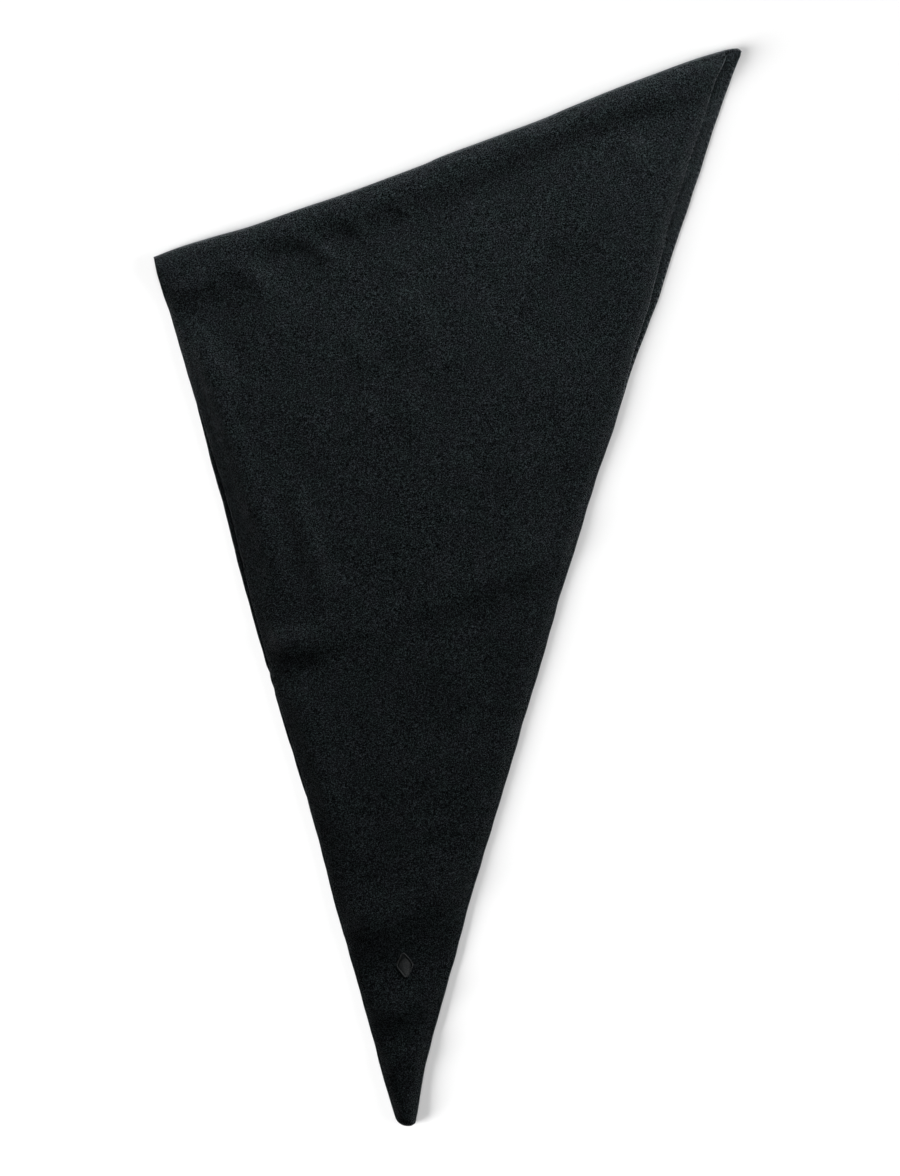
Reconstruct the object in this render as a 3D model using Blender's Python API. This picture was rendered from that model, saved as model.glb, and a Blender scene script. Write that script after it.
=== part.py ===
"""A triangular scarf of thick brushed knit, folded once in half on its line of symmetry and laid flat.

Frame: metres, +Z up. The fold runs along X, with the apex of the triangle at its +X end. The doubled
long edge runs down -Y from the other end of the fold to the two tips, which lie on each other. The
origin is on the surface that the scarf lies on, under the middle of its outline.

The scarf is one wall of cloth. It is laid out in sections parallel to the fold: each section is a row
of the wall from the long edge to the short edge, the rows run from the lower tip up to the fold, round
the roll of the fold, and down again to the upper tip. The two layers are apart beside their cut edges.
Further in, where nothing of it shows, they are one body with the thin space between them.
"""

import math

import bmesh
import bpy
import numpy as np

# Driving sizes, in metres
CLOTH = 0.0022  # the brushed knit, nap included
AIR = 0.00035  # between the two layers where they touch
PUFF = 0.0004  # how far the upper layer stands off the lower one between its edges
EDGE_REACH = 0.016  # from an edge, over which the upper layer comes down to the lower one
TIP_RADIUS = 0.0103  # the two tips are cut round
TIP_X, TIP_DOWN = -0.0364, 0.7136  # centre of the round of the tip
CENTRE = (0.2259, -0.3586)  # middle of the outline, which becomes the origin
COLUMNS = 18  # cells across a section
ROLL_STEPS = 8  # cells round the fold
TIP_ROWS = 6  # rows of cells at the tips where the layers are apart right across
EMBLEM_AT = (0.0010, -0.6010)  # middle of the emblem, from the long edge's end of the fold
EMBLEM_HALF = (0.0070, 0.0100)  # half its width and height
EMBLEM_THICK = 0.0008
EMBLEM_TURN = math.radians(-11.0)  # its upright against the fold's own square
SEAM_GAP = 0.0003


def table(columns, rows):
    """A short table in millimetres, as named columns in metres."""
    values = np.array(rows, float).T / 1000
    return dict(zip(columns.split(), values))


# The folded outline: a row for each section parallel to the fold. down is its distance below the
# line from corner to corner of the fold, left and right are its ends on the long and the short edge.
OUTLINE = table(
    "down left right",
    [
        (-6, -0.8, 480.0),
        (0, -0.8, 497.8),
        (8, -1.6, 492.4),
        (16, -2.4, 485.2),
        (28, -2.9, 475.4),
        (48, -3.2, 459.6),
        (88, -5.6, 429.2),
        (128, -7.8, 398.0),
        (168, -11.4, 367.6),
        (208, -14.0, 334.0),
        (248, -17.8, 304.4),
        (288, -20.8, 272.6),
        (328, -23.2, 243.4),
        (368, -25.6, 213.4),
        (408, -27.2, 185.4),
        (448, -29.2, 156.0),
        (488, -31.4, 127.4),
        (528, -35.0, 98.0),
        (568, -37.4, 68.8),
        (608, -39.8, 41.4),
        (648, -42.6, 13.4),
        (688, -45.6, -13.4),
        (712, -46.6, -26.4),
        (724, -47.2, -33.4),
    ],
)

# How far each layer stays inside that outline. Between 120 and 450 mm the under layer shows along
# the long edge, and from the apex to 240 mm it shows along the short edge; elsewhere the upper
# layer covers it.
LAYERS = table(
    "down upper_left upper_right under_left under_right",
    [
        (0, 0.2, 13.0, 1.6, 0.0),
        (16, 0.0, 14.4, 1.4, 0.0),
        (48, 0.0, 13.0, 1.2, 0.0),
        (104, 0.2, 13.6, 0.8, 0.0),
        (138, 1.6, 9.6, 0.0, 0.0),
        (184, 3.8, 5.6, 0.0, 0.0),
        (244, 4.0, 0.4, 0.0, 0.6),
        (284, 2.8, 0.0, 0.0, 2.2),
        (296, 2.6, 0.0, 0.0, 2.4),
        (336, 2.2, 0.0, 0.0, 2.4),
        (350, 0.4, 0.0, 1.6, 2.2),
        (366, 1.4, 0.0, 0.0, 2.0),
        (430, 1.8, 0.0, 0.0, 2.0),
        (464, 0.4, 0.0, 1.4, 1.8),
        (560, 0.0, 0.0, 1.4, 1.6),
        (724, 0.0, 0.0, 1.4, 1.4),
    ],
)

# The fold along its length. out is how far its outer line stands beyond the straight line between
# its corners, radius is that of the roll at the middle of the cloth, fall is the run over which the
# upper layer comes down behind it.
FOLD = table(
    "along out radius fall",
    [
        (-3, 0.2, 2.6, 34),
        (20, 0.8, 2.9, 36),
        (48, -0.3, 3.2, 40),
        (84, -2.4, 3.3, 40),
        (120, -2.3, 3.1, 42),
        (160, -2.9, 3.3, 44),
        (200, -2.3, 3.4, 46),
        (228, -1.7, 3.2, 48),
        (244, -0.4, 3.5, 50),
        (280, 0.2, 3.5, 46),
        (324, 0.9, 3.6, 38),
        (372, 3.8, 3.6, 33),
        (416, 5.3, 3.5, 34),
        (456, 5.8, 3.4, 37),
        (484, 4.7, 3.0, 38),
        (495, 3.4, 2.7, 38),
        (499, 1.2, 2.6, 38),
    ],
)

# The right end of each row round the roll, by its turn from straight down under the fold to straight
# up over it. The apex itself lies on the under layer and reaches further than the roll.
ROLL_END = {
    "turn": np.radians([-90.0, -55.0, -30.0, -12.0, 0.0, 20.0, 90.0]),
    "right": np.array([498.4, 497.6, 495.6, 491.0, 487.0, 485.2, 484.6]) / 1000,
}

# The largest folds of the upper layer: from and to are the ends of the crease's line, wide is its
# half width, and high is its height, negative for a trough.
CREASES = table(
    "x0 y0 x1 y1 wide high",
    [
        (3, -84, 6, -262, 12, 0.45),  # long ridge beside the long edge
        (42, -206, 39, -292, 9, 0.3),  # second ridge beside the first
        (58, -26, 76, -56, 9, 0.3),  # short slanting ridge from the fold
        (116, -26, 137, -53, 8, 0.3),  # another beside it
        (-14, -328, 232, -331, 15, 0.45),  # the crease across, where it had been folded in half
        (-8, -354, 22, -350, 10, -0.3),  # hollow below its end at the long edge
        (236, -232, 176, -320, 14, 0.3),  # ridge beside the short edge
        (256, -272, 214, -346, 10, -0.3),  # trough between that and the short edge
        (-20, -559, 64, -557, 15, 0.45),  # crease across above the emblem
        (-32, -632, 8, -633, 11, 0.3),  # crease across below it
    ],
)


def along(tab, key, column, at):
    """One column of a table as a smooth curve through its rows that never overshoots them."""
    x, y = tab[key], tab[column]
    run, slope = np.diff(x), np.diff(y) / np.diff(x)
    before, after = slope[:-1], slope[1:]
    same = before * after > 0
    w1, w2 = 2 * run[1:] + run[:-1], run[1:] + 2 * run[:-1]
    mean = np.zeros_like(before)
    mean[same] = (w1 + w2)[same] / (w1[same] / before[same] + w2[same] / after[same])
    tangent = np.concatenate([slope[:1], mean, slope[-1:]])
    at = np.clip(np.asarray(at, float), x[0], x[-1])
    i = np.clip(np.searchsorted(x, at, side="right") - 1, 0, len(run) - 1)
    s = (at - x[i]) / run[i]
    return (
        y[i] * (1 + 2 * s) * (1 - s) ** 2
        + y[i + 1] * s * s * (3 - 2 * s)
        + run[i] * (tangent[i] * s * (1 - s) ** 2 - tangent[i + 1] * s * s * (1 - s))
    )


def ends(layer, down):
    """Left and right end of a section of one layer, with the round of the tip cut off it."""
    left = along(OUTLINE, "down", "left", down) + along(LAYERS, "down", layer + "_left", down)
    right = along(OUTLINE, "down", "right", down) - along(LAYERS, "down", layer + "_right", down)
    radius = TIP_RADIUS - along(LAYERS, "down", layer + "_left", down)
    half = np.sqrt(np.maximum(radius**2 - np.maximum(down - TIP_DOWN, 0) ** 2, 1e-8))
    below = down > TIP_DOWN
    return (
        np.where(below, np.maximum(left, TIP_X - half), left),
        np.where(below, np.minimum(right, TIP_X + half), right),
    )


def lift(x, y):
    """Height of the upper layer over its rest on the lower one, away from its edges."""
    height = np.full(np.shape(x), PUFF)
    for x0, y0, x1, y1, wide, high in zip(*CREASES.values()):
        run = np.array([x1 - x0, y1 - y0])
        length = math.hypot(*run)
        part = ((x - x0) * run[0] + (y - y0) * run[1]) / length**2
        off = np.hypot(
            x - x0 - np.clip(part, 0, 1) * run[0], y - y0 - np.clip(part, 0, 1) * run[1]
        )
        height = height + high * np.exp(-((off / wide) ** 2))
    soft = 0.0004  # a trough flattens out where the upper layer meets the lower one
    return (height + np.sqrt(height**2 + soft**2)) / 2


def wall_row(layer, value, columns):
    """Mid-surface points of one row. On the roll value is its turn, elsewhere its distance behind the fold."""
    across = (1 - np.cos(np.pi * np.linspace(0, 1, columns + 1))) / 2
    across = 0.45 * across + 0.55 * np.linspace(0, 1, columns + 1)
    low, rest = CLOTH / 2, CLOTH * 1.5 + AIR
    if layer == "roll":
        left, _ = ends("upper", np.array(0.0))
        right = along(ROLL_END, "turn", "right", value)
    else:
        fade = math.exp(-((value / 0.045) ** 2))
        left, right = ends(layer, np.array(value))
        left, _ = ends(layer, value - fade * along(FOLD, "along", "out", left))
        _, right = ends(layer, value - fade * along(FOLD, "along", "out", right))
    x = left + across * (right - left)
    radius = along(FOLD, "along", "radius", x)
    out = along(FOLD, "along", "out", x)
    if layer == "roll":
        y = out - CLOTH / 2 - radius * (1 - math.cos(value))
        return np.stack([x, y, low + radius * (1 + math.sin(value))], 1)
    y = fade * out - value
    if layer == "under":
        return np.stack([x, y, np.full_like(x, low)], 1)
    fall = np.clip((value - radius) / along(FOLD, "along", "fall", x), 0, 1)
    stand = (1 + np.cos(np.pi * fall**1.15)) / 2
    inside = np.minimum(x - left, right - x)
    settle = 1 - np.exp(-((inside / EDGE_REACH) ** 2))
    settle = settle * (1 - stand)
    z = rest + (low + 2 * radius - rest) * stand + lift(x, y) * settle
    return np.stack([x, y, z], 1)


def row_places(layer):
    """Distances of a layer's rows behind the fold: close behind the roll and round the tip, even between.
    The under layer is flat there, so half as many rows hold its outline."""
    near = [0.0075, 0.012, 0.017, 0.022, 0.028, 0.036, 0.046]
    even = np.arange(0.060, 0.695, 0.0187)
    if layer == "under":
        near, even = near[:3] + near[3::2], even[1::2]
    radius = TIP_RADIUS - LAYERS[layer + "_left"][-1]
    tip = TIP_DOWN + radius * np.sin(np.radians([-66, -30, 0, 25, 47, 66, 82]))
    return [*near, *even, *tip]


def wall_points():
    turns = np.linspace(-math.pi / 2, math.pi / 2, ROLL_STEPS + 1)
    rows = [wall_row("under", d, COLUMNS) for d in reversed(row_places("under"))]
    rows += [wall_row("roll", t, COLUMNS) for t in turns]
    rows += [wall_row("upper", d, COLUMNS) for d in row_places("upper")]
    return np.array(rows)


def to_origin(points):
    return points - np.array([CENTRE[0], CENTRE[1], 0.0])


def grid_object(name, points, thickness, material):
    """A grid of mid-surface points as a wall: a bmesh sheet thickened both ways by Solidify."""
    rows, columns = points.shape[:2]
    bm = bmesh.new()
    verts = [[bm.verts.new(points[i, j]) for j in range(columns)] for i in range(rows)]
    for i in range(rows - 1):
        for j in range(columns - 1):
            bm.faces.new((verts[i][j], verts[i + 1][j], verts[i + 1][j + 1], verts[i][j + 1]))
    mesh = bpy.data.meshes.new(name)
    bm.to_mesh(mesh)
    bm.free()
    mesh.shade_smooth()
    mesh.set_sharp_from_angle(angle=math.radians(50))
    obj = bpy.data.objects.new(name, mesh)
    bpy.context.scene.collection.objects.link(obj)
    wall = obj.modifiers.new("wall", "SOLIDIFY")
    wall.thickness = thickness
    wall.offset = 0.0
    wall.use_even_offset = True
    wall.use_quality_normals = True
    mesh.materials.append(material)
    return obj


def body_object(name, points, thickness, material):
    """The folded wall as one closed body, with its layers apart only beside the cut edges."""
    rows, columns = points.shape[:2]
    inward = np.cross(np.gradient(points, axis=1), np.gradient(points, axis=0))
    inward = inward / np.linalg.norm(inward, axis=2, keepdims=True) * thickness / 2
    first, end, last = TIP_ROWS, rows - 1 - TIP_ROWS, columns - 2
    bm = bmesh.new()
    outer = [[bm.verts.new(p) for p in row] for row in points - inward]
    inner = [
        [
            None if first < i < end and 1 < j < last else bm.verts.new(points[i, j] + inward[i, j])
            for j in range(columns)
        ]
        for i in range(rows)
    ]

    def cell(grid, i, j):
        bm.faces.new((grid[i][j], grid[i + 1][j], grid[i + 1][j + 1], grid[i][j + 1]))

    for i in range(rows - 1):
        for j in range(columns - 1):
            cell(outer, i, j)
            if not (first <= i < end and 1 <= j < last):
                cell(inner, i, j)
        for j in (0, columns - 1):  # the cut edges of the two layers, and of the roll at its ends
            bm.faces.new((outer[i][j], outer[i + 1][j], inner[i + 1][j], inner[i][j]))
    for i in (0, rows - 1):  # the cut edge at each tip
        for j in range(columns - 1):
            bm.faces.new((outer[i][j], outer[i][j + 1], inner[i][j + 1], inner[i][j]))

    middle = len(row_places("under")) + ROLL_STEPS // 2
    for j in (1, last):  # from the middle of the roll outward, the end of the space between the layers
        low = [inner[i][j] for i in range(middle, first - 1, -1)]
        high = [inner[i][j] for i in range(middle, end + 1)]
        a = b = 0
        while a < len(low) - 1 or b < len(high) - 1:
            on_low = b == len(high) - 1 or (
                a < len(low) - 1 and low[a + 1].co.y >= high[b + 1].co.y
            )
            corners = (low[a], low[a + 1], high[b]) if on_low else (low[a], high[b], high[b + 1])
            if low[a] is not high[b]:
                bm.faces.new(corners)
            a, b = (a + 1, b) if on_low else (a, b + 1)
    for j in range(1, last):  # and the same across the tips
        bm.faces.new((inner[first][j], inner[first][j + 1], inner[end][j + 1]))
        bm.faces.new((inner[first][j], inner[end][j + 1], inner[end][j]))
    bmesh.ops.recalc_face_normals(bm, faces=bm.faces)

    mesh = bpy.data.meshes.new(name)
    bm.to_mesh(mesh)
    bm.free()
    mesh.shade_smooth()
    mesh.set_sharp_from_angle(angle=math.radians(50))
    obj = bpy.data.objects.new(name, mesh)
    bpy.context.scene.collection.objects.link(obj)
    mesh.materials.append(material)
    return obj


def emblem_points():
    """A lozenge laid on the upper layer: its rows are the panel's surface, moved out along Z."""
    rows, columns = 10, 8
    points = np.zeros((rows + 1, columns + 1, 3))
    for i in range(rows + 1):
        up = -1 + 2 * i / rows
        half = (1 - abs(up) ** 1.35) * 0.86 + 0.14  # blunt ends, slightly swollen sides
        for j in range(columns + 1):
            a = EMBLEM_HALF[0] * half * (-1 + 2 * j / columns)
            b = EMBLEM_HALF[1] * up
            x = EMBLEM_AT[0] + a * math.cos(EMBLEM_TURN) - b * math.sin(EMBLEM_TURN)
            y = EMBLEM_AT[1] + a * math.sin(EMBLEM_TURN) + b * math.cos(EMBLEM_TURN)
            points[i, j] = (x, y, 0.0)
    x, y = points[..., 0], points[..., 1]
    left, right = ends("upper", -y)
    inside = np.minimum(x - left, right - x)
    settle = 1 - np.exp(-((inside / EDGE_REACH) ** 2))
    top = CLOTH * 1.5 + AIR + lift(x, y) * settle + CLOTH / 2
    points[..., 2] = top + SEAM_GAP + EMBLEM_THICK / 2
    return points


def cloth_material(name, colour, roughness):
    material = bpy.data.materials.new(name)
    material.use_nodes = True
    shader = material.node_tree.nodes["Principled BSDF"]
    shader.inputs["Base Color"].default_value = (*colour, 1.0)
    shader.inputs["Roughness"].default_value = roughness
    shader.inputs["Metallic"].default_value = 0.0
    return material


for old in list(bpy.data.objects):
    bpy.data.objects.remove(old, do_unlink=True)

knit = cloth_material("brushed_knit", (0.0105, 0.0130, 0.0138), 0.95)
thread = cloth_material("satin_thread", (0.0160, 0.0185, 0.0195), 0.55)
body_object("scarf_panel", to_origin(wall_points()), CLOTH, knit)
grid_object("tip_emblem", to_origin(emblem_points()), EMBLEM_THICK, thread)
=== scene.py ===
import math

import bmesh
import bpy
import numpy as np
from mathutils import Matrix, Vector


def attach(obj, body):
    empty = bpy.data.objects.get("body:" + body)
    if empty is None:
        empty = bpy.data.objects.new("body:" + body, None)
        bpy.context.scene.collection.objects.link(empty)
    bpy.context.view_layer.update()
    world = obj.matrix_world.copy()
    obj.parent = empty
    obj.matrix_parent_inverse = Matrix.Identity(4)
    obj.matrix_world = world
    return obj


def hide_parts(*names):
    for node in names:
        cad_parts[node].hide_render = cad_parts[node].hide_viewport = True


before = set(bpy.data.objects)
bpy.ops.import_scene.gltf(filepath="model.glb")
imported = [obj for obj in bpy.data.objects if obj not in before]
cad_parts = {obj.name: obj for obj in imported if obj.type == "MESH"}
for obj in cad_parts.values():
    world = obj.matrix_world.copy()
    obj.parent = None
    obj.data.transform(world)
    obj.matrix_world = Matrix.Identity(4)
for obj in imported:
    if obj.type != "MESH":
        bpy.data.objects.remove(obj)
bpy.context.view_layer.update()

# The scarf's own sizes, in metres. Shapes are laid out with the long edge's end of the fold at the
# origin, the fold along X and the tips down -Y, and moved by CENTRE into the frame's place.
CLOTH = 0.0022
AIR = 0.00035
PUFF = 0.0024
CREASING = 1.25  # how strongly the creases below stand out
TIP_RADIUS = 0.0103
TIP_X, TIP_DOWN = -0.0364, 0.7136
CENTRE = np.array([0.2259, -0.3586, 0.0])
THIN_LEFT, THIN_RIGHT = 0.50, 0.35  # share of the thickness left at a cut edge, where the nap lies down
EDGE_LEFT, EDGE_RIGHT = 0.0050, 0.0125  # how far in from the edges the thinning reaches
EDGE_ROUND = 0.0003  # and how far in the very edge is rounded
LIP_SUNK, LIP_BLEND = 0.0009, 0.0007  # how far it is pressed down under the upper layer's edge
LIP_RISE = 0.0020  # of the under layer's free lip beside the short edge, near the fold
FOLD_CREST = 0.016  # how far in from its outer line the fold's bulb is highest
FOLD_HOLD = 0.007  # how far behind the roll the upper layer starts to come down
FOLD_FADE = 0.045  # over which the wobble of the fold line dies out in the panel

CELL_X, CELL_Y = 0.0026, 0.0024  # mesh of the upper layer
UNDER_X, UNDER_Y = 0.0078, 0.0040  # mesh of the flat under layer
RING = np.array([0.0, 0.00008, 0.0003, 0.0008, 0.0018, 0.0035, 0.0055])  # rows beside a cut edge


def table(columns, rows):
    """A short table in millimetres, as named columns in metres."""
    values = np.array(rows, float).T / 1000
    return dict(zip(columns.split(), values))


# The folded outline, a row for each section parallel to the fold.
OUTLINE = table(
    "down left right",
    [
        (-6, -0.8, 480.0),
        (0, -0.8, 497.8),
        (8, -1.6, 492.4),
        (16, -2.4, 485.2),
        (28, -2.9, 475.4),
        (48, -3.2, 459.6),
        (88, -5.6, 429.2),
        (128, -7.8, 398.0),
        (168, -11.4, 367.6),
        (208, -14.0, 334.0),
        (248, -17.8, 304.4),
        (288, -20.8, 272.6),
        (328, -23.2, 243.4),
        (368, -25.6, 213.4),
        (408, -27.2, 185.4),
        (448, -29.2, 156.0),
        (488, -31.4, 127.4),
        (528, -35.0, 98.0),
        (568, -37.4, 68.8),
        (608, -39.8, 41.4),
        (648, -42.6, 13.4),
        (688, -45.6, -13.4),
        (712, -46.6, -26.4),
        (724, -47.2, -33.4),
    ],
)

# How far each layer stays inside that outline.
LAYERS = table(
    "down upper_left upper_right under_left under_right",
    [
        (0, 0.2, 13.0, 1.6, 0.0),
        (16, 0.0, 14.4, 1.4, 0.0),
        (48, 0.0, 13.0, 1.2, 0.0),
        (104, 0.2, 13.6, 0.8, 0.0),
        (138, 1.6, 9.6, 0.0, 0.0),
        (184, 3.8, 5.6, 0.0, 0.0),
        (244, 4.0, 0.4, 0.0, 0.6),
        (284, 2.8, 0.0, 0.0, 2.2),
        (296, 2.6, 0.0, 0.0, 2.4),
        (336, 2.2, 0.0, 0.0, 2.4),
        (350, 0.4, 0.0, 1.6, 2.2),
        (366, 1.4, 0.0, 0.0, 2.0),
        (430, 1.8, 0.0, 0.0, 2.0),
        (464, 0.4, 0.0, 1.4, 1.8),
        (560, 0.0, 0.0, 1.4, 1.6),
        (724, 0.0, 0.0, 1.4, 1.4),
    ],
)

# The fold along its length: its outer line, the radius of its turn at mid cloth, how much higher the
# bulb behind the turn stands, and the run over which the upper layer comes down behind it.
FOLD = table(
    "along out radius bulb fall",
    [
        (-3, 0.2, 1.5, 2.4, 44),
        (20, 0.8, 1.6, 2.8, 46),
        (48, -0.3, 1.8, 3.3, 40),
        (84, -2.4, 1.8, 3.5, 35),
        (120, -2.3, 1.7, 3.3, 36),
        (160, -2.9, 1.8, 3.4, 37),
        (200, -2.3, 1.8, 3.6, 38),
        (228, -1.7, 1.8, 3.4, 40),
        (244, -0.4, 1.9, 3.6, 40),
        (280, 0.2, 1.9, 3.7, 40),
        (324, 0.9, 1.9, 3.8, 34),
        (356, 2.8, 1.9, 3.8, 30),
        (396, 4.7, 1.9, 3.8, 30),
        (428, 5.4, 1.9, 3.6, 36),
        (456, 5.8, 1.9, 3.4, 40),
        (484, 4.7, 1.7, 2.9, 40),
        (495, 3.4, 1.5, 2.4, 40),
        (499, 1.2, 1.4, 2.2, 40),
    ],
)

# The right end of each row round the roll, by its turn from straight down to straight up.
ROLL_END = {
    "turn": np.radians([-90.0, -55.0, -30.0, -12.0, 0.0, 20.0, 90.0]),
    "right": np.array([498.4, 497.6, 495.6, 491.0, 487.0, 485.2, 484.6]) / 1000,
}

# Creases of the upper layer: the line of each, in millimetres, its half width on the
# left and on the right of that line as one walks along it, and its height, negative for a trough.
CREASES = {
    # behind the fold: the hollow that runs along it, and the ribs that pull across it
    "behind_fold_left": ([(58, -37), (100, -36), (150, -38), (195, -38), (262, -41)], 18, 40, -2.5),
    "behind_fold_middle": ([(240, -41), (280, -40), (320, -34), (360, -26)], 17, 32, -2.2),
    "behind_fold_right": ([(345, -24), (400, -26), (430, -36), (474, -38)], 15, 24, -2.5),
    "rib_1": ([(50, -10), (60, -28), (76, -58)], 11, 9, 2.2),
    "rib_2": ([(110, -10), (118, -28), (138, -54)], 10, 8, 2.5),
    "rib_3": ([(153, -10), (158, -28), (166, -46)], 7, 6, 1.9),
    "rib_4": ([(195, -10), (199, -26), (205, -40)], 6, 5, 1.6),
    "rib_5": ([(372, -22), (386, -42), (392, -66)], 10, 9, 1.3),
    # the corner at the long edge
    "corner_swell": ([(-30, -23), (16, -26), (62, -25)], 15, 17, 3.2),
    "corner_hollow": ([(-24, -56), (18, -58), (52, -60)], 16, 18, -2.1),
    "slant_hollow": ([(34, -52), (34, -88), (38, -120)], 12, 12, -1.8),
    # beside the long edge
    "long_edge_hump": ([(8, -50), (8, -110), (9, -160), (9, -212)], 13, 11, 2.0),
    "long_edge_hump_2": ([(9, -184), (10, -230), (8, -262), (2, -300)], 13, 11, 1.9),
    "second_ridge": ([(42, -196), (42, -250), (38, -310)], 10, 9, 2.2),
    "edge_knuckle": ([(-12, -286), (-12, -306), (-13, -332)], 9, 7, 1.5),
    # the old fold across the middle and what runs into it
    "half_fold_upper": ([(6, -294), (28, -296), (46, -298)], 10, 18, 1.2),
    "half_fold_left": ([(-52, -324), (-16, -326), (34, -334)], 12, 13, 3.2),
    "half_fold_middle": ([(4, -335), (80, -339), (160, -337)], 26, 9, 0.9),
    "half_fold_right": ([(124, -338), (190, -333), (290, -322)], 18, 15, 3.1),
    "half_fold_pit": ([(-40, -354), (-8, -352), (22, -350)], 8, 14, -1.4),
    "short_edge_ridge": ([(236, -226), (204, -282), (164, -330)], 17, 17, 1.5),
    "short_edge_valley": ([(268, -262), (236, -306), (206, -356)], 11, 16, -1.9),
    # lower part
    "lower_edge_hump": ([(-16, -340), (-17, -410), (-19, -490)], 14, 9, 1.9),
    "middle_hollow": ([(36, -422), (74, -428), (112, -430)], 48, 24, -1.7),
    "lower_valley": ([(150, -372), (128, -428), (98, -462)], 18, 14, -1.3),
    "quarter_fold": ([(-62, -554), (0, -561), (92, -553)], 20, 18, 3.0),
    "quarter_hollow": ([(-50, -600), (0, -602), (50, -598)], 18, 18, -1.7),
    "tip_fold": ([(-62, -631), (-14, -634), (40, -629)], 14, 11, 2.2),
    "tip_fold_2": ([(-66, -673), (-32, -674), (10, -670)], 10, 12, 1.4),
    "emblem_press": ([(-2, -594), (4, -608)], 12, 12, -0.4),
    # soft unevenness of the open middle
    "middle_rise_1": ([(127, -104), (128, -122), (126, -142)], 11, 12, 1.5),
    "middle_rise_2": ([(180, -86), (180, -118), (182, -150)], 13, 19, 1.8),
    "middle_rise_3": ([(154, -156), (152, -180), (150, -204)], 10, 13, 1.3),
    "middle_rise_4": ([(124, -160), (122, -178), (120, -194)], 9, 12, 1.0),
    "middle_rise_5": ([(150, -234), (168, -238), (186, -238)], 12, 16, 1.0),
    "middle_rise_6": ([(50, -142), (78, -168), (66, -206)], 16, 16, 1.0),
    "right_dip": ([(248, -178), (300, -152), (344, -122)], 68, 30, -2.2),
}


def along(tab, key, column, at):
    """One column of a table as a smooth curve through its rows that never overshoots them."""
    x, y = tab[key], tab[column]
    run, slope = np.diff(x), np.diff(y) / np.diff(x)
    before, after = slope[:-1], slope[1:]
    same = before * after > 0
    w1, w2 = 2 * run[1:] + run[:-1], run[1:] + 2 * run[:-1]
    mean = np.zeros_like(before)
    mean[same] = (w1 + w2)[same] / (w1[same] / before[same] + w2[same] / after[same])
    tangent = np.concatenate([slope[:1], mean, slope[-1:]])
    at = np.clip(np.asarray(at, float), x[0], x[-1])
    i = np.clip(np.searchsorted(x, at, side="right") - 1, 0, len(run) - 1)
    s = (at - x[i]) / run[i]
    return (
        y[i] * (1 + 2 * s) * (1 - s) ** 2
        + y[i + 1] * s * s * (3 - 2 * s)
        + run[i] * (tangent[i] * s * (1 - s) ** 2 - tangent[i + 1] * s * s * (1 - s))
    )


def waver(at, seed, size):
    """A small uneven wander along an edge: a few sines of unlike length, fixed by a seed."""
    rng = np.random.default_rng(seed)
    total = np.zeros_like(np.asarray(at, float))
    for length in (0.021, 0.029, 0.043, 0.071):
        total = total + np.sin(2 * np.pi * (at / length + rng.random())) * rng.uniform(0.5, 1.0)
    return size * total / 2.2


def ends(layer, down):
    """Left and right end of a section of one layer, with the round of the tip cut off it."""
    down = np.asarray(down, float)
    left = along(OUTLINE, "down", "left", down) + along(LAYERS, "down", layer + "_left", down)
    right = along(OUTLINE, "down", "right", down) - along(LAYERS, "down", layer + "_right", down)
    seed = 11 if layer == "upper" else 23
    quiet = np.clip((TIP_DOWN - down) / 0.03, 0, 1) * np.clip(down / 0.02, 0, 1)
    left = left + waver(down, seed, 0.00022) * quiet
    right = right + waver(down, seed + 1, 0.00034) * quiet
    radius = TIP_RADIUS - along(LAYERS, "down", layer + "_left", down)
    half = np.sqrt(np.maximum(radius**2 - np.maximum(down - TIP_DOWN, 0) ** 2, 1e-8))
    below = down > TIP_DOWN
    return (
        np.where(below, np.maximum(left, TIP_X - half), left),
        np.where(below, np.minimum(right, TIP_X + half), right),
    )


def crease_height(x, y, line, wide_left, wide_right, high):
    """A soft ridge or trough along a bent line, tapering to nothing at both of its ends."""
    points = np.array(line, float) / 1000
    steps = np.diff(points, axis=0)
    lengths = np.hypot(*steps.T)
    starts = np.concatenate([[0], np.cumsum(lengths)])
    best = np.full(x.shape, np.inf)
    where = np.zeros(x.shape)
    side = np.zeros(x.shape)
    for p, step, length, start in zip(points, steps, lengths, starts):
        t = np.clip(((x - p[0]) * step[0] + (y - p[1]) * step[1]) / length**2, 0, 1)
        dx, dy = x - p[0] - t * step[0], y - p[1] - t * step[1]
        off = np.hypot(dx, dy)
        near = off < best
        best = np.where(near, off, best)
        where = np.where(near, start + t * length, where)
        side = np.where(near, step[0] * dy - step[1] * dx, side)
    wide = np.where(side > 0, wide_left, wide_right) / 1000
    share = where / starts[-1]
    taper = np.clip(share / 0.3, 0, 1) * np.clip((1 - share) / 0.3, 0, 1)
    taper = 0.25 + 0.75 * taper * taper * (3 - 2 * taper)
    return high / 1000 * taper * np.exp(-((best / wide) ** 2))


def swell(x, y, size, seed):
    """A slow, low unevenness of the cloth, from a few crossing sines."""
    rng = np.random.default_rng(seed)
    total = np.zeros(x.shape)
    for length in (0.050, 0.066, 0.085, 0.120, 0.170):
        turn, phase = rng.uniform(0, np.pi), rng.random()
        total += np.sin(2 * np.pi * ((x * np.cos(turn) + y * np.sin(turn)) / length + phase)) * length
    return size * total / 0.25


def lift(x, y):
    """Height of the upper layer over its rest on the lower one, away from its edges."""
    height = PUFF * (1 - 0.35 * np.clip((-y - 0.50) / 0.18, 0, 1)) + swell(x, y, 0.00035, 5)
    for line, wide_left, wide_right, high in CREASES.values():
        height += CREASING * crease_height(x, y, line, wide_left, wide_right, high)
    soft = 0.0004
    return (height + np.sqrt(height**2 + soft**2)) / 2


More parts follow.
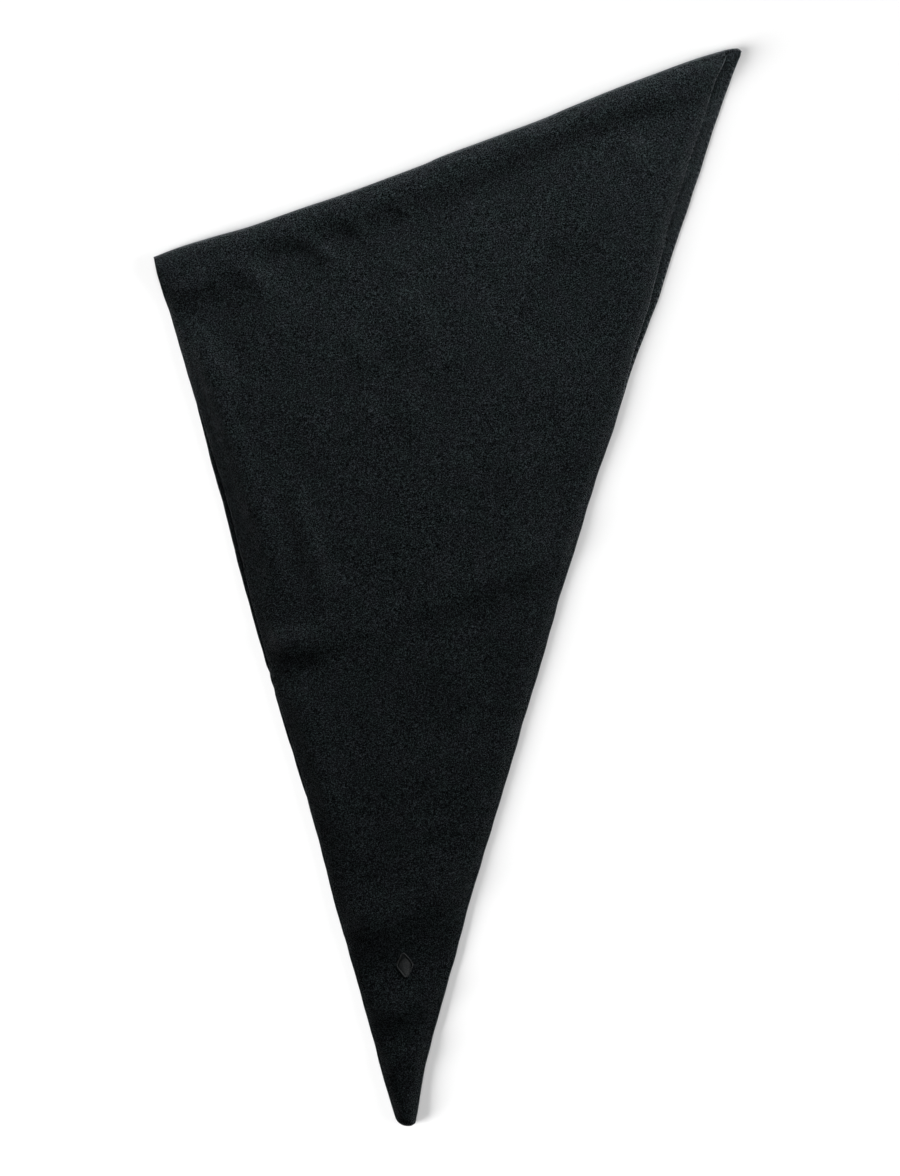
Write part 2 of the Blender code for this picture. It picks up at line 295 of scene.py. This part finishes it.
def section_ends(layer, value):
    """Ends of a row that lies value behind the top of the roll."""
    fade = np.exp(-((value / FOLD_FADE) ** 2))
    left, right = ends(layer, value)

    def down(x):
        offset = along(FOLD, "along", "out", x) - CLOTH / 2 - along(FOLD, "along", "radius", x)
        return value - offset * fade

    return ends(layer, down(left))[0], ends(layer, down(right))[1]


def lip_share(down):
    """How far the under layer sticks out on the right, from 0 for not at all to 1 near the fold."""
    return np.clip(along(LAYERS, "down", "upper_right", down) / 0.013, 0, 1)


def lip(down, x):
    """Height by which the under layer's lip on the right stands up off what it lies on."""
    inside = np.maximum(ends("under", down)[1] - x, 0) / 0.009
    shape = (1 - np.exp(-(inside**2))) * np.exp(-((inside / 4) ** 2))
    covered = np.clip((section_ends("upper", down)[1] + LIP_BLEND * 0.85 - x) / LIP_BLEND, 0, 1)
    sunk = LIP_SUNK * covered * covered * (3 - 2 * covered)
    return lip_share(down) * np.clip(down / 0.03, 0, 1) * np.maximum(LIP_RISE * shape - sunk, 0)


def thickness(layer, down, x, left, right):
    """The cloth's thickness, less beside its cut edges, where it is soft and pressed flat."""
    from_left = np.clip((x - left) / EDGE_LEFT, 0, 1)
    from_right = np.clip((right - x) / EDGE_RIGHT, 0, 1)
    radius = TIP_RADIUS - LAYERS[layer + "_left"][-1]
    past = np.hypot(x - TIP_X, np.maximum(down - TIP_DOWN, 0))
    from_tip = np.clip(np.where(down > TIP_DOWN, (radius - past) / EDGE_LEFT, 1), 0, 1)
    thin_right = THIN_RIGHT + 0.30 * np.clip((down - 0.50) / 0.15, 0, 1)  # evener toward the tip
    if layer == "upper":  # thinner still where it lies on the lip of the under layer
        thin_right = thin_right - 0.26 * lip_share(down)
    loss = np.maximum(
        (1 - THIN_LEFT) * (1 - np.minimum(from_left, from_tip)) ** 2, (1 - thin_right) * (1 - from_right) ** 2
    )
    share = np.clip(down / 0.014, 0, 1)  # none on the roll
    return CLOTH * (1 - loss * share * share * (3 - 2 * share))


def bulb(x, out):
    """How much the cloth of the fold stands above a plain turn, at a distance in from its outer line."""
    part = np.clip(out / FOLD_CREST, 0, 1)
    return along(FOLD, "along", "bulb", x) * (1 - (1 - part) ** 2)


def surface(layer, value, x, left=None, right=None):
    """Mid-cloth points. On the roll value is the turn, on a layer it is the distance behind the roll's top."""
    low, rest = CLOTH / 2, CLOTH * 1.5 + AIR
    radius = along(FOLD, "along", "radius", x)
    base = along(FOLD, "along", "out", x) - CLOTH / 2 - radius
    if layer == "roll":
        over = np.clip((1 + np.sin(value)) / 2, 0, 1)
        raised = bulb(x, radius * (1 - np.cos(value))) * over * over * (3 - 2 * over)
        return np.stack(
            [x, base + radius * np.cos(value), low + radius * (1 + np.sin(value)) + raised], -1
        )
    y = base * np.exp(-((value / FOLD_FADE) ** 2)) - value
    thick = thickness(layer, value, x, left, right)
    if layer == "under":
        return np.stack([x, y, thick / 2 + lip(value, x)], -1)
    below = thickness("under", value, x, *ends("under", value)) + lip(value, x)
    edge = np.clip(np.minimum(x - left, right - x) / 0.008, 0, 1)
    rest = below + AIR * (0.3 + 0.7 * edge) + thick / 2
    fall = np.clip((value - FOLD_HOLD) / (along(FOLD, "along", "fall", x) - FOLD_HOLD), 0, 1)
    stand = (1 + np.cos(np.pi * fall)) / 2
    width = right - left
    reach_left = np.minimum(0.012, 0.18 * width)
    reach_right = np.minimum(0.018, 0.24 * width)
    settle = (1 - np.exp(-((np.maximum(x - left, 0) / reach_left) ** 2))) * (
        1 - np.exp(-((np.maximum(right - x, 0) / reach_right) ** 2))
    )
    high = low + 2 * radius + bulb(x, radius + value)
    z = rest + (high - rest) * stand + lift(x, y) * settle * (1 - stand)
    return np.stack([x, y, z], -1)


def row_xs(left, right, step):
    """Columns of a row: a ring beside each cut edge, and between them a fixed grid."""
    ring = RING * min(1.0, (right - left) / 0.014)
    low, high = left + ring[-1] + step * 0.35, right - ring[-1] - step * 0.35
    inner = np.arange(math.ceil(low / step), math.floor(high / step) + 1) * step
    if high < low:
        inner = np.array([])
    return np.concatenate([left + ring, inner, (right - ring)[::-1]])


def rows_of_panel():
    """(layer, value, xs, left, right) of each row, from the under tip round the fold to the upper tip."""
    rows = []
    near = np.cumsum([0.0009, 0.001, 0.0011, 0.0013, 0.0015, 0.0017, 0.0019, 0.0021])
    for layer, step_y, step_x in (("under", UNDER_Y, UNDER_X), ("upper", CELL_Y, CELL_X)):
        radius = TIP_RADIUS - LAYERS[layer + "_left"][-1]
        last = TIP_DOWN - radius * 0.9
        count = round((last - near[-1]) / step_y)
        even = near[-1] + (last - near[-1]) * np.arange(1, count + 1) / count
        tip = TIP_DOWN + radius * np.sin(np.radians([-50, -36, -22, -8, 6, 20, 33, 45, 56, 66, 74, 81, 86]))
        made = []
        for value in [*near, *even, *tip]:
            left, right = (float(v) for v in section_ends(layer, value))
            step = step_x if value > 0.05 or layer == "upper" else CELL_X
            xs = row_xs(left, right, step)
            if layer == "under" and 0.012 < value < 0.26:  # finer where the lip shows
                cover = float(section_ends("upper", value)[1])
                fine = cover + LIP_BLEND * np.array([-0.9, -0.5, -0.15, 0.1, 0.35, 0.6, 0.85])
                extra = [*fine, *(right - np.array([0.0075, 0.0100, 0.0128, 0.0160, 0.0200]))]
                for e in extra:
                    if np.min(np.abs(xs - e)) > 0.0002 and e < right - 0.0002:
                        xs = np.sort(np.append(xs, e))
            made.append((layer, value, xs, left, right))
        rows.append(made)
    turns = np.linspace(-np.pi / 2, np.pi / 2, 23)
    roll = []
    for turn in turns:
        left = float(ends("upper", 0.0)[0])
        right = float(along(ROLL_END, "turn", "right", turn))
        roll.append(("roll", turn, row_xs(left, right, CELL_X), left, right))
    return rows[0][::-1] + roll + rows[1]


def normals(layer, value, x, left, right):
    """Outward normals of the folded sheet, by small steps of the surface itself."""
    dx, dv = 0.0002, 0.02 if layer == "roll" else 0.0002
    args = (left, right)
    across = surface(layer, value, x + dx, *args) - surface(layer, value, x - dx, *args)
    before = value - dv if layer == "roll" else max(value - dv, 0.0)
    onward = surface(layer, value + dv, x, *args) - surface(layer, before, x, *args)
    if layer == "under":
        onward = -onward
    n = -np.cross(across, onward)
    return n / np.linalg.norm(n, axis=-1, keepdims=True)


def edge_distance(value, layer, x, left, right):
    """How far a point of a row is from the cut edge."""
    inside = np.minimum(x - left, right - x)
    if layer != "roll" and value > TIP_DOWN - TIP_RADIUS:
        radius = TIP_RADIUS - LAYERS[layer + "_left"][-1]
        past = np.where(value > TIP_DOWN, np.hypot(x - TIP_X, value - TIP_DOWN), 0)
        inside = np.where(value > TIP_DOWN, np.minimum(inside, radius - past), inside)
    return np.maximum(inside, 0)


def zipper(a, b, xa, xb):
    """Triangles between two rows of points, each sorted by x."""
    faces = []
    i = j = 0
    while i < len(a) - 1 or j < len(b) - 1:
        go_a = j == len(b) - 1 or (
            i < len(a) - 1 and abs(xa[i + 1] - xb[j]) <= abs(xb[j + 1] - xa[i])
        )
        if go_a:
            faces.append((a[i], a[i + 1], b[j]))
            i += 1
        else:
            faces.append((a[i], b[j + 1], b[j]))
            j += 1
    return faces


def panel_mesh(name):
    """The whole scarf as one closed mesh: outer and inner face of the folded sheet, joined round its cut edge."""
    points, inner_side, outer_rows, inner_rows = [], [], [], []
    rows = rows_of_panel()
    for k, (layer, value, xs, left, right) in enumerate(rows):
        mid = surface(layer, value, xs, left, right)
        normal = normals(layer, value, xs, left, right)
        inside = edge_distance(value, layer, xs, left, right)
        if k in (0, len(rows) - 1):
            inside = inside * 0
        inside[[0, -1]] = 0
        part = np.clip(inside / EDGE_ROUND, 0, 1)
        down = 0 if layer == "roll" else value
        full = thickness("upper" if layer == "roll" else layer, down, xs, left, right)
        half = full / 2 * np.sqrt(1 - (1 - part) ** 2)
        if layer == "under":
            normal = np.array([0, 0, -1.0]) * np.ones((len(xs), 1))  # lies flat on the floor
        outer, inner = mid + normal * half[:, None], mid - normal * half[:, None]
        ids = np.arange(len(points), len(points) + len(xs))
        points.extend(outer)
        inner_side.extend(np.where(half > 0, 0.0, 0.5))
        outer_rows.append(ids)
        ids = ids.copy()
        apart = np.flatnonzero(half > 0)
        ids[apart] = np.arange(len(points), len(points) + len(apart))
        points.extend(inner[apart])
        inner_side.extend([1.0] * len(apart))
        inner_rows.append(ids)
    faces = []
    for k in range(len(rows) - 1):
        xa, xb = rows[k][2], rows[k + 1][2]
        outer = zipper(outer_rows[k], outer_rows[k + 1], xa, xb)
        inner = zipper(inner_rows[k], inner_rows[k + 1], xa, xb)
        for o, i in zip(outer, inner):
            if o == i:
                continue  # all three lie on the cut edge, where both faces meet
            faces.append(o[::-1])
            faces.append(i)
    mesh = bpy.data.meshes.new(name)
    mesh.from_pydata((np.array(points) - CENTRE).tolist(), [], faces)
    side = mesh.attributes.new("inner_side", "FLOAT", "POINT")
    side.data.foreach_set("value", np.array(inner_side, np.float32))
    mesh.shade_smooth()
    mesh.validate()
    obj = bpy.data.objects.new(name, mesh)
    bpy.context.scene.collection.objects.link(obj)
    return obj


panel = panel_mesh("scarf")
print("scarf:", len(panel.data.vertices), "points", len(panel.data.polygons), "triangles")


# ---- materials -------------------------------------------------------------------------------


class Nodes:
    """Short calls for building a node tree."""

    def __init__(self, name):
        self.material = bpy.data.materials.new(name)
        self.material.use_nodes = True
        self.tree = self.material.node_tree
        self.shader = self.tree.nodes["Principled BSDF"]
        self.output = self.tree.nodes["Material Output"]

    def add(self, kind, **settings):
        node = self.tree.nodes.new(kind)
        for key, value in settings.items():
            if key.startswith("in_"):
                node.inputs[key[3:].replace("_", " ")].default_value = value
            else:
                setattr(node, key, value)
        return node

    def link(self, a, b):
        self.tree.links.new(a, b)

    def noise(self, vector, scale, detail=2.0, roughness=0.5, distortion=0.0):
        node = self.add("ShaderNodeTexNoise")
        node.inputs["Scale"].default_value = scale
        node.inputs["Detail"].default_value = detail
        node.inputs["Roughness"].default_value = roughness
        node.inputs["Distortion"].default_value = distortion
        self.link(vector, node.inputs["Vector"])
        return node.outputs["Fac"]

    def ramp(self, value, low, high, to_low=0.0, to_high=1.0):
        node = self.add("ShaderNodeMapRange")
        for key, number in (("From Min", low), ("From Max", high), ("To Min", to_low), ("To Max", to_high)):
            node.inputs[key].default_value = number
        self.link(value, node.inputs["Value"])
        return node.outputs["Result"]

    def math(self, operation, a, b):
        node = self.add("ShaderNodeMath", operation=operation)
        for socket, value in zip(node.inputs, (a, b)):
            if isinstance(value, (int, float)):
                socket.default_value = value
            else:
                self.link(value, socket)
        return node.outputs["Value"]

    def shifted(self, vector, by):
        node = self.add("ShaderNodeVectorMath", operation="ADD")
        self.link(vector, node.inputs[0])
        node.inputs[1].default_value = (by, by * 0.7, by * 1.3)
        return node.outputs[0]

    def crest(self, value, wide):
        """Thin curling lines, 1 on them and 0 off them, where a noise passes through its middle."""
        off = self.math("ABSOLUTE", self.math("SUBTRACT", value, 0.5), 0.0)
        return self.ramp(off, 0.0, wide, 1.0, 0.0)

    def mix(self, factor, a, b):
        node = self.add("ShaderNodeMix", data_type="RGBA")
        for socket, value in ((node.inputs[0], factor), (node.inputs[6], a), (node.inputs[7], b)):
            if isinstance(value, (int, float, tuple)):
                socket.default_value = value
            else:
                self.link(value, socket)
        return node.outputs[2]


def knit_material():
    n = Nodes("brushed_knit")
    where = n.add("ShaderNodeTexCoord").outputs["Object"]
    tufts = n.noise(where, 1040, detail=2.0, roughness=0.65, distortion=0.6)
    curls = n.noise(where, 1250, detail=1.0, roughness=0.5, distortion=1.4)
    wisps = n.noise(n.shifted(where, 3.7), 1500, detail=1.0, roughness=0.5, distortion=1.5)
    lie = n.noise(where, 46, detail=4.0, roughness=0.62)
    hue = n.ramp(n.noise(n.shifted(where, 1.3), 75, detail=1.0), 0.36, 0.64)
    fibre = n.math("ADD", n.math("MULTIPLY", n.crest(curls, 0.07), 0.5), n.math("MULTIPLY", n.crest(wisps, 0.09), 0.3))
    nap = n.math("ADD", n.math("MULTIPLY", n.ramp(tufts, 0.38, 0.64), 1.0), fibre)
    slow = n.ramp(lie, 0.36, 0.64, 0.93, 1.07)
    dark = n.mix(hue, (0.0001, 0.0002, 0.0002, 1), (0.0001, 0.0002, 0.0003, 1))
    light = n.mix(hue, (0.0650, 0.0890, 0.0930, 1), (0.0720, 0.0870, 0.0975, 1))
    tone = n.mix(n.math("POWER", n.ramp(nap, 0.15, 1.6), 2.7), dark, light)
    scaled = n.add("ShaderNodeVectorMath", operation="SCALE")
    n.link(tone, scaled.inputs[0])
    n.link(slow, scaled.inputs["Scale"])
    n.link(scaled.outputs[0], n.shader.inputs["Base Color"])
    n.link(n.ramp(nap, 0.2, 1.3, 1.0, 0.8), n.shader.inputs["Roughness"])
    n.shader.inputs["Specular IOR Level"].default_value = 0.02
    n.shader.inputs["Sheen Weight"].default_value = 0.45
    n.shader.inputs["Sheen Roughness"].default_value = 0.2
    n.shader.inputs["Sheen Tint"].default_value = (0.89, 0.95, 1.0, 1)
    bump = n.add("ShaderNodeBump", in_Strength=1.0, in_Distance=0.00034)
    n.link(nap, bump.inputs["Height"])
    n.link(bump.outputs["Normal"], n.shader.inputs["Normal"])
    return n.material


panel.data.materials.append(knit_material())

# ---- emblem ----------------------------------------------------------------------------------

EMBLEM_AT = (0.0010, -0.6010)  # middle of the emblem, from the long edge's end of the fold
EMBLEM_HALF = (0.0070, 0.0100)
EMBLEM_TURN = math.radians(-11.0)
THREAD = 0.00042  # width of one stitch
STITCH_LEAN = math.radians(14.0)


def on_cloth(a, b):
    """The top of the upper layer at a place given in the emblem's own right and up."""
    x = EMBLEM_AT[0] + a * math.cos(EMBLEM_TURN) - b * math.sin(EMBLEM_TURN)
    y = EMBLEM_AT[1] + a * math.sin(EMBLEM_TURN) + b * math.cos(EMBLEM_TURN)
    left, right = ends("upper", -y)
    point = surface("upper", -y, x, left, right)
    point[..., 2] += thickness("upper", -y, x, left, right) / 2
    return point


def half_width(up):
    """Half the lozenge's width at a height between -1 and 1: blunt ends, slightly swollen sides."""
    return EMBLEM_HALF[0] * ((1 - abs(up) ** 1.35) * 0.86 + 0.14)


def stitch(points, faces, start, end, width, crown, height):
    """One flattened thread from hole to hole, its ends sunk into the cloth."""
    along_it, around = 9, 8
    t = np.linspace(0, 1, along_it)
    a, b = start[0] + (end[0] - start[0]) * t, start[1] + (end[1] - start[1]) * t
    path = on_cloth(a, b)
    path[:, 2] += crown * (1 - np.abs(2 * t - 1) ** 3.0) - 0.0002 + height * np.sin(np.pi * t)
    run = path[-1] - path[0]
    side = np.array([-run[1], run[0], 0.0]) / np.hypot(run[0], run[1])
    slim = 0.55 + 0.45 * np.sin(np.pi * t) ** 0.5
    first = len(points)
    for k in range(along_it):
        for j in range(around):
            turn = 2 * np.pi * j / around
            points.append(
                path[k]
                + side * (width / 2 * slim[k] * np.cos(turn))
                + np.array([0, 0, width * 0.36 * slim[k] * np.sin(turn)])
            )
    for k in range(along_it - 1):
        for j in range(around):
            p, q = first + k * around + j, first + k * around + (j + 1) % around
            faces.append((p, q, q + around, p + around))
    last = first + (along_it - 1) * around
    faces.append(tuple(range(first, first + around))[::-1])
    faces.append(tuple(range(last, last + around)))


def emblem_mesh(name):
    """A plain lozenge of satin stitch: a filling of slightly leaning threads, and a close border over its rim."""
    rng = np.random.default_rng(8)
    points, faces = [], []
    count = round(2 * EMBLEM_HALF[1] / (THREAD * 0.90))
    for k in range(count):
        up = -0.93 + 1.86 * (k + 0.5) / count
        wide = half_width(up) * 0.86
        rise = wide * math.tan(STITCH_LEAN)
        b = up * EMBLEM_HALF[1] + rng.normal(0, 0.00003)
        start, end = (-wide, b - rise * 0.5), (wide, b + rise * 0.5)
        stitch(points, faces, start, end, THREAD * rng.uniform(0.92, 1.06), 0.00045, 0.0001)
    steps = 108
    for k in range(steps):
        turn = 2 * np.pi * (k + 0.5) / steps
        up = np.cos(turn)
        a, b = np.sign(np.sin(turn)) * half_width(up) * abs(np.sin(turn)) ** 0.12, up * EMBLEM_HALF[1]
        inward = np.array([-a, -b * 0.55])
        inward = inward / np.hypot(*inward)
        lean = np.array([inward[0] - inward[1] * 0.35, inward[1] + inward[0] * 0.35])
        start = np.array([a, b]) - lean * 0.0002
        end = np.array([a, b]) + lean * 0.0015
        stitch(points, faces, start, end, THREAD * rng.uniform(0.95, 1.1), 0.00062, 0.00012)
    mesh = bpy.data.meshes.new(name)
    mesh.from_pydata((np.array(points) - CENTRE).tolist(), [], faces)
    bm = bmesh.new()
    bm.from_mesh(mesh)
    bmesh.ops.recalc_face_normals(bm, faces=bm.faces)
    bm.to_mesh(mesh)
    bm.free()
    mesh.shade_smooth()
    obj = bpy.data.objects.new(name, mesh)
    bpy.context.scene.collection.objects.link(obj)
    return obj


def thread_material():
    n = Nodes("satin_thread")
    where = n.add("ShaderNodeTexCoord").outputs["Object"]
    strands = n.noise(where, 2600, detail=1.0, distortion=0.3)
    n.link(
        n.mix(n.ramp(strands, 0.35, 0.65), (0.0040, 0.0052, 0.0056, 1), (0.0140, 0.0175, 0.0190, 1)),
        n.shader.inputs["Base Color"],
    )
    n.link(n.ramp(strands, 0.3, 0.7, 0.46, 0.34), n.shader.inputs["Roughness"])
    n.shader.inputs["Specular IOR Level"].default_value = 0.36
    return n.material


emblem = emblem_mesh("emblem")
emblem.data.materials.append(thread_material())
print("emblem:", len(emblem.data.polygons), "faces")

# ---- floor, light and camera -----------------------------------------------------------------

TURN = math.radians(19.394)  # the fold's angle in the picture
RIGHT = Vector((math.cos(TURN), -math.sin(TURN), 0))  # the picture's right and up, in the frame
UP = Vector((math.sin(TURN), math.cos(TURN), 0))
SCALE = 0.0008  # metres to a pixel of the 900 x 1176 picture
MIDDLE = Vector((0.1354 - CENTRE[0], -0.3284 - CENTRE[1], 0.0))


def floor_material():
    n = Nodes("pale_floor")
    n.shader.inputs["Base Color"].default_value = (0.88, 0.88, 0.88, 1)
    n.shader.inputs["Roughness"].default_value = 0.9
    n.shader.inputs["Specular IOR Level"].default_value = 0.0
    return n.material


mesh = bpy.data.meshes.new("floor")
size = 40.0
mesh.from_pydata([(-size, -size, 0), (size, -size, 0), (size, size, 0), (-size, size, 0)], [], [(0, 1, 2, 3)])
floor = bpy.data.objects.new("floor", mesh)
bpy.context.scene.collection.objects.link(floor)
floor.data.materials.append(floor_material())

world = bpy.data.worlds.new("studio")
bpy.context.scene.world = world
world.use_nodes = True
world.node_tree.nodes["Background"].inputs["Color"].default_value = (1, 1, 1, 1)
world.node_tree.nodes["Background"].inputs["Strength"].default_value = 0.03


def softbox(name, right, up, height, target, width, depth, power, lights_only):
    """An area light placed by the picture's own right and up, that lights only the things named."""
    data = bpy.data.lights.new(name, "AREA")
    data.shape, data.size, data.size_y, data.energy = "RECTANGLE", width, depth, power
    obj = bpy.data.objects.new(name, data)
    bpy.context.scene.collection.objects.link(obj)
    obj.location = MIDDLE + RIGHT * right + UP * up + Vector((0, 0, height))
    goal = MIDDLE + RIGHT * target[0] + UP * target[1]
    obj.rotation_euler = (goal - obj.location).to_track_quat("-Z", "Y").to_euler()
    chosen = bpy.data.collections.new(name + "_lights")
    for o in lights_only:
        chosen.objects.link(o)
    obj.light_linking.receiver_collection = chosen
    obj.visible_camera = False
    return obj


softbox("floor_key", -13.1, -4.9, 3.3, (0, 0), 7.0, 4.0, 5750, [floor])
softbox("floor_side", 12.0, -1.0, 3.0, (0, 0), 6.0, 4.0, 870, [floor])
softbox("floor_fill", 0, 0, 6.0, (0, 0), 5.0, 5.0, 188, [floor])
softbox("cloth_right", 0.40, 1.21, 0.41, (0.05, 0.2), 0.5, 0.35, 15.5, [panel, emblem])
softbox("cloth_left", -0.32, 1.15, 0.39, (0.0, 0.2), 0.5, 0.35, 13.8, [panel, emblem])
softbox("cloth_side", 1.78, 0.78, 0.80, (0.1, 0.2), 0.7, 0.6, 27, [panel, emblem])

camera = bpy.data.objects.new("camera", bpy.data.cameras.new("camera"))
bpy.context.scene.collection.objects.link(camera)
distance = 3.2
camera.location = MIDDLE + Vector((0, 0, distance))
camera.rotation_euler = Matrix((RIGHT, UP, Vector((0, 0, 1)))).transposed().to_euler()
camera.data.sensor_width = 36.0
camera.data.lens = 36.0 * (distance - 0.004) / (1176 * SCALE)
camera.data.clip_end = 100.0
bpy.context.scene.camera = camera
bpy.context.scene.view_settings.view_transform = "Standard"

# ---- what each piece is ----------------------------------------------------------------------

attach(panel, "root")
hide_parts("scarf_panel")
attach(emblem, "root")
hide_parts("tip_emblem")
